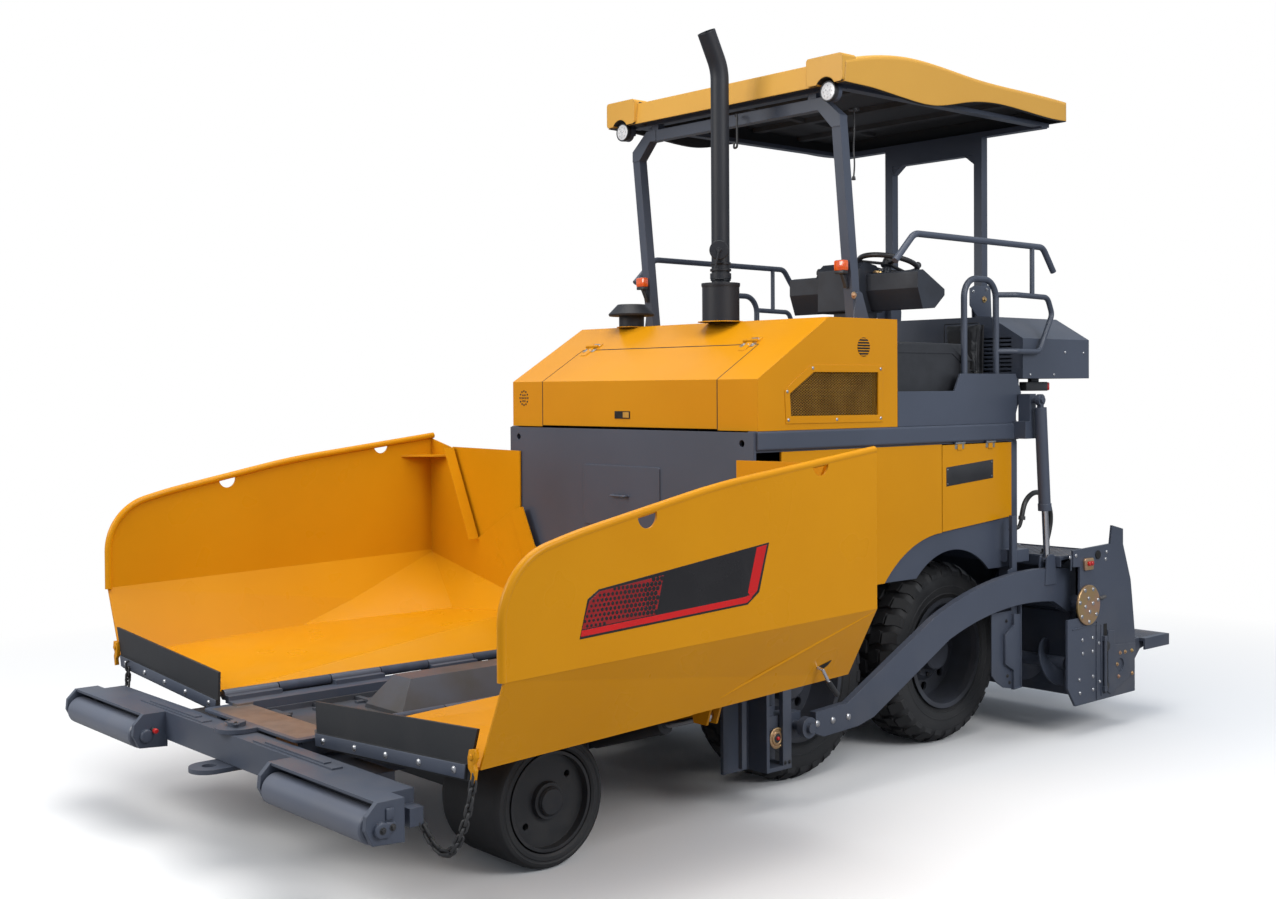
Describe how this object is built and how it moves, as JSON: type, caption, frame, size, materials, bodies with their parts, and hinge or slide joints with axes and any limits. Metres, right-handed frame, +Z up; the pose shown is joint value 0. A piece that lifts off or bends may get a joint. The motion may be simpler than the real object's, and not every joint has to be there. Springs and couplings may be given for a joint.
{
  "type": "wheeled asphalt paver",
  "caption": "Wheeled paver with a folding hopper, conveyor tunnel, augers and a floating extendable screed for laying asphalt.",
  "frame": {"origin": "on the ground, in the middle of the machine's length and width", "axes": "+X to the machine's left, -Y to its front (the hopper), +Z up"},
  "size_m": [3.546, 5.9199, 4.0042],
  "materials": {
    "yellow_paint": "gloss",
    "canopy_yellow": "gloss",
    "grey_paint": "satin",
    "tyre_rubber": "matte",
    "rubber": "matte",
    "black_steel": "matte",
    "worn_steel": "brushed",
    "chrome_rod": "polished",
    "console_plastic": "matte",
    "seat_vinyl": "matte",
    "cast_iron": "matte"
  },
  "bodies": {
    "chassis": {"main_frame": "grey_paint", "bulkhead": "grey_paint", "body_panels": "yellow_paint", "hood": "yellow_paint", "engine_block": "cast_iron", "platform": "grey_paint", "console": "console_plastic", "seats": "black_steel", "seat_cushions": "seat_vinyl", "handrails": "grey_paint", "rear_cabinet": "grey_paint", "canopy_roof": "canopy_yellow", "canopy_frame": "grey_paint", "exhaust_stack": "black_steel", "air_intake": "black_steel", "conveyor": "worn_steel", "axles": "black_steel", "tow_guides": "grey_paint", "auger_frame": "grey_paint", "screed_hoses": "rubber"},
    "steering_wheel": {"steering_wheel": "console_plastic"},
    "hood_door": {"hood_door": "yellow_paint"},
    "push_beam": {"push_beam": "grey_paint"},
    "screed": {"tow_arms": "grey_paint", "screed_frame": "grey_paint"},
    "hopper_wing_left": {"hopper_wing_left": "yellow_paint", "wing_flap_left": "rubber"},
    "wing_barrel_left": {"wing_barrel_left": "black_steel"},
    "wing_rod_left": {"wing_rod_left": "chrome_rod"},
    "knuckle_left": {"knuckle_left": "grey_paint"},
    "push_roller_left": {"push_roller_left": "grey_paint"},
    "side_door_left": {"side_door_left": "yellow_paint"},
    "screed_extension_left": {"screed_extension_left": "grey_paint"},
    "lift_barrel_left": {"lift_barrel_left": "grey_paint"},
    "lift_rod_left": {"lift_rod_left": "chrome_rod"},
    "auger_left": {"auger_left": "grey_paint"},
    "front_wheel_left": {"front_tyre_left": "tyre_rubber", "front_rim_left": "grey_paint"},
    "middle_wheel_left": {"middle_tyre_left": "tyre_rubber", "middle_rim_left": "grey_paint"},
    "rear_wheel_left": {"rear_tyre_left": "tyre_rubber", "rear_rim_left": "grey_paint"},
    "hopper_wing_right": {"hopper_wing_right": "yellow_paint", "wing_flap_right": "rubber"},
    "wing_barrel_right": {"wing_barrel_right": "black_steel"},
    "wing_rod_right": {"wing_rod_right": "chrome_rod"},
    "knuckle_right": {"knuckle_right": "grey_paint"},
    "push_roller_right": {"push_roller_right": "grey_paint"},
    "side_door_right": {"side_door_right": "yellow_paint"},
    "screed_extension_right": {"screed_extension_right": "grey_paint"},
    "lift_barrel_right": {"lift_barrel_right": "grey_paint"},
    "lift_rod_right": {"lift_rod_right": "chrome_rod"},
    "auger_right": {"auger_right": "grey_paint"},
    "front_wheel_right": {"front_tyre_right": "tyre_rubber", "front_rim_right": "grey_paint"},
    "middle_wheel_right": {"middle_tyre_right": "tyre_rubber", "middle_rim_right": "grey_paint"},
    "rear_wheel_right": {"rear_tyre_right": "tyre_rubber", "rear_rim_right": "grey_paint"}
  },
  "joints": [
    {"name": "steering_wheel_turn", "type": "hinge", "parent": "chassis", "child": "steering_wheel", "pos_m": [0.6, 1.014, 2.758], "axis": [0, 0.2588, 0.9659], "range_deg": [-460, 460]},
    {"name": "hood_door_hinge", "type": "hinge", "parent": "chassis", "child": "hood_door", "pos_m": [0, -0.158, 2.3], "axis": [-1, 0, 0], "range_deg": [0, 70]},
    {"name": "push_beam_pivot", "type": "hinge", "parent": "chassis", "child": "push_beam", "pos_m": [0, -2.74, 0.45], "axis": [0, 0, 1], "range_deg": [-5, 5]},
    {"name": "screed_lift", "type": "hinge", "parent": "chassis", "child": "screed", "pos_m": [0, -0.277, 0.385], "axis": [1, 0, 0], "range_deg": [-3.8, 6], "deforming": ["screed_hoses"]},
    {"name": "wing_fold_left", "type": "hinge", "parent": "chassis", "child": "hopper_wing_left", "pos_m": [0.5, -1.5, 0.622], "axis": [0, -1, 0], "range_deg": [0, 50]},
    {"name": "wing_barrel_pivot_left", "type": "hinge", "parent": "chassis", "child": "wing_barrel_left", "pos_m": [0.44, -1.09, 0.33], "axis": [0, -1, 0], "range_deg": [0, 40]},
    {"name": "wing_rod_slide_left", "type": "slide", "parent": "wing_barrel_left", "child": "wing_rod_left", "axis": [0.9538, 0, 0.3003], "range_m": [0, 0.18]},
    {"name": "steer_left", "type": "hinge", "parent": "chassis", "child": "knuckle_left", "pos_m": [0.57, -1.817, 0.292], "axis": [0, 0, 1], "range_deg": [-22, 22]},
    {"name": "front_wheel_spin_left", "type": "hinge", "parent": "knuckle_left", "child": "front_wheel_left", "pos_m": [0.845, -1.817, 0.292], "axis": [1, 0, 0], "continuous": true},
    {"name": "middle_wheel_spin_left", "type": "hinge", "parent": "chassis", "child": "middle_wheel_left", "pos_m": [0.635, 0.049, 0.52], "axis": [1, 0, 0], "continuous": true},
    {"name": "rear_wheel_spin_left", "type": "hinge", "parent": "chassis", "child": "rear_wheel_left", "pos_m": [0.635, 1.288, 0.52], "axis": [1, 0, 0], "continuous": true},
    {"name": "push_roller_spin_left", "type": "hinge", "parent": "push_beam", "child": "push_roller_left", "pos_m": [1.01, -2.895, 0.465], "axis": [1, 0, 0], "continuous": true},
    {"name": "side_door_hinge_left", "type": "hinge", "parent": "chassis", "child": "side_door_left", "pos_m": [0.992, 1.3, 1.738], "axis": [0, -1, 0], "range_deg": [0, 80]},
    {"name": "screed_extend_left", "type": "slide", "parent": "screed", "child": "screed_extension_left", "axis": [1, 0, 0], "range_m": [0, 1]},
    {"name": "lift_barrel_pivot_left", "type": "hinge", "parent": "chassis", "child": "lift_barrel_left", "pos_m": [1.125, 1.739, 1.974], "axis": [1, 0, 0], "range_deg": [-4, 3]},
    {"name": "lift_rod_slide_left", "type": "slide", "parent": "lift_barrel_left", "child": "lift_rod_left", "axis": [0, 0.0719, -0.9974], "range_m": [-0.23, 0.15]},
    {"name": "auger_spin_left", "type": "hinge", "parent": "chassis", "child": "auger_left", "pos_m": [0.6, 1.965, 0.42], "axis": [1, 0, 0], "continuous": true},
    {"name": "wing_fold_right", "type": "hinge", "parent": "chassis", "child": "hopper_wing_right", "pos_m": [-0.5, -1.5, 0.622], "axis": [0, 1, 0], "range_deg": [0, 50]},
    {"name": "wing_barrel_pivot_right", "type": "hinge", "parent": "chassis", "child": "wing_barrel_right", "pos_m": [-0.44, -1.09, 0.33], "axis": [0, 1, 0], "range_deg": [0, 40]},
    {"name": "wing_rod_slide_right", "type": "slide", "parent": "wing_barrel_right", "child": "wing_rod_right", "axis": [-0.9538, 0, 0.3003], "range_m": [0, 0.18]},
    {"name": "steer_right", "type": "hinge", "parent": "chassis", "child": "knuckle_right", "pos_m": [-0.57, -1.817, 0.292], "axis": [0, 0, 1], "range_deg": [-22, 22]},
    {"name": "front_wheel_spin_right", "type": "hinge", "parent": "knuckle_right", "child": "front_wheel_right", "pos_m": [-0.845, -1.817, 0.292], "axis": [1, 0, 0], "continuous": true},
    {"name": "middle_wheel_spin_right", "type": "hinge", "parent": "chassis", "child": "middle_wheel_right", "pos_m": [-0.635, 0.049, 0.52], "axis": [1, 0, 0], "continuous": true},
    {"name": "rear_wheel_spin_right", "type": "hinge", "parent": "chassis", "child": "rear_wheel_right", "pos_m": [-0.635, 1.288, 0.52], "axis": [1, 0, 0], "continuous": true},
    {"name": "push_roller_spin_right", "type": "hinge", "parent": "push_beam", "child": "push_roller_right", "pos_m": [-1.01, -2.895, 0.465], "axis": [1, 0, 0], "continuous": true},
    {"name": "side_door_hinge_right", "type": "hinge", "parent": "chassis", "child": "side_door_right", "pos_m": [-0.992, 1.3, 1.738], "axis": [0, 1, 0], "range_deg": [0, 80]},
    {"name": "screed_extend_right", "type": "slide", "parent": "screed", "child": "screed_extension_right", "axis": [-1, 0, 0], "range_m": [0, 1]},
    {"name": "lift_barrel_pivot_right", "type": "hinge", "parent": "chassis", "child": "lift_barrel_right", "pos_m": [-1.125, 1.739, 1.974], "axis": [1, 0, 0], "range_deg": [-4, 3]},
    {"name": "lift_rod_slide_right", "type": "slide", "parent": "lift_barrel_right", "child": "lift_rod_right", "axis": [0, 0.0719, -0.9974], "range_m": [-0.23, 0.15]},
    {"name": "auger_spin_right", "type": "hinge", "parent": "chassis", "child": "auger_right", "pos_m": [-0.6, 1.965, 0.42], "axis": [1, 0, 0], "continuous": true}
  ],
  "couplings": [
    {"joint": "wing_barrel_pivot_left", "follows": "wing_fold_left", "ratio": 0.7696},
    {"joint": "wing_rod_slide_left", "follows": "wing_fold_left", "m_per_rad": 0.1914},
    {"joint": "lift_barrel_pivot_left", "follows": "screed_lift", "ratio": -0.64},
    {"joint": "lift_rod_slide_left", "follows": "screed_lift", "m_per_rad": -2.08},
    {"joint": "wing_barrel_pivot_right", "follows": "wing_fold_right", "ratio": 0.7696},
    {"joint": "wing_rod_slide_right", "follows": "wing_fold_right", "m_per_rad": 0.1914},
    {"joint": "lift_barrel_pivot_right", "follows": "screed_lift", "ratio": -0.64},
    {"joint": "lift_rod_slide_right", "follows": "screed_lift", "m_per_rad": -2.08},
    {"joint": "steer_right", "follows": "steer_left", "ratio": 1},
    {"joint": "steering_wheel_turn", "follows": "steer_left", "ratio": 20}
  ]
}
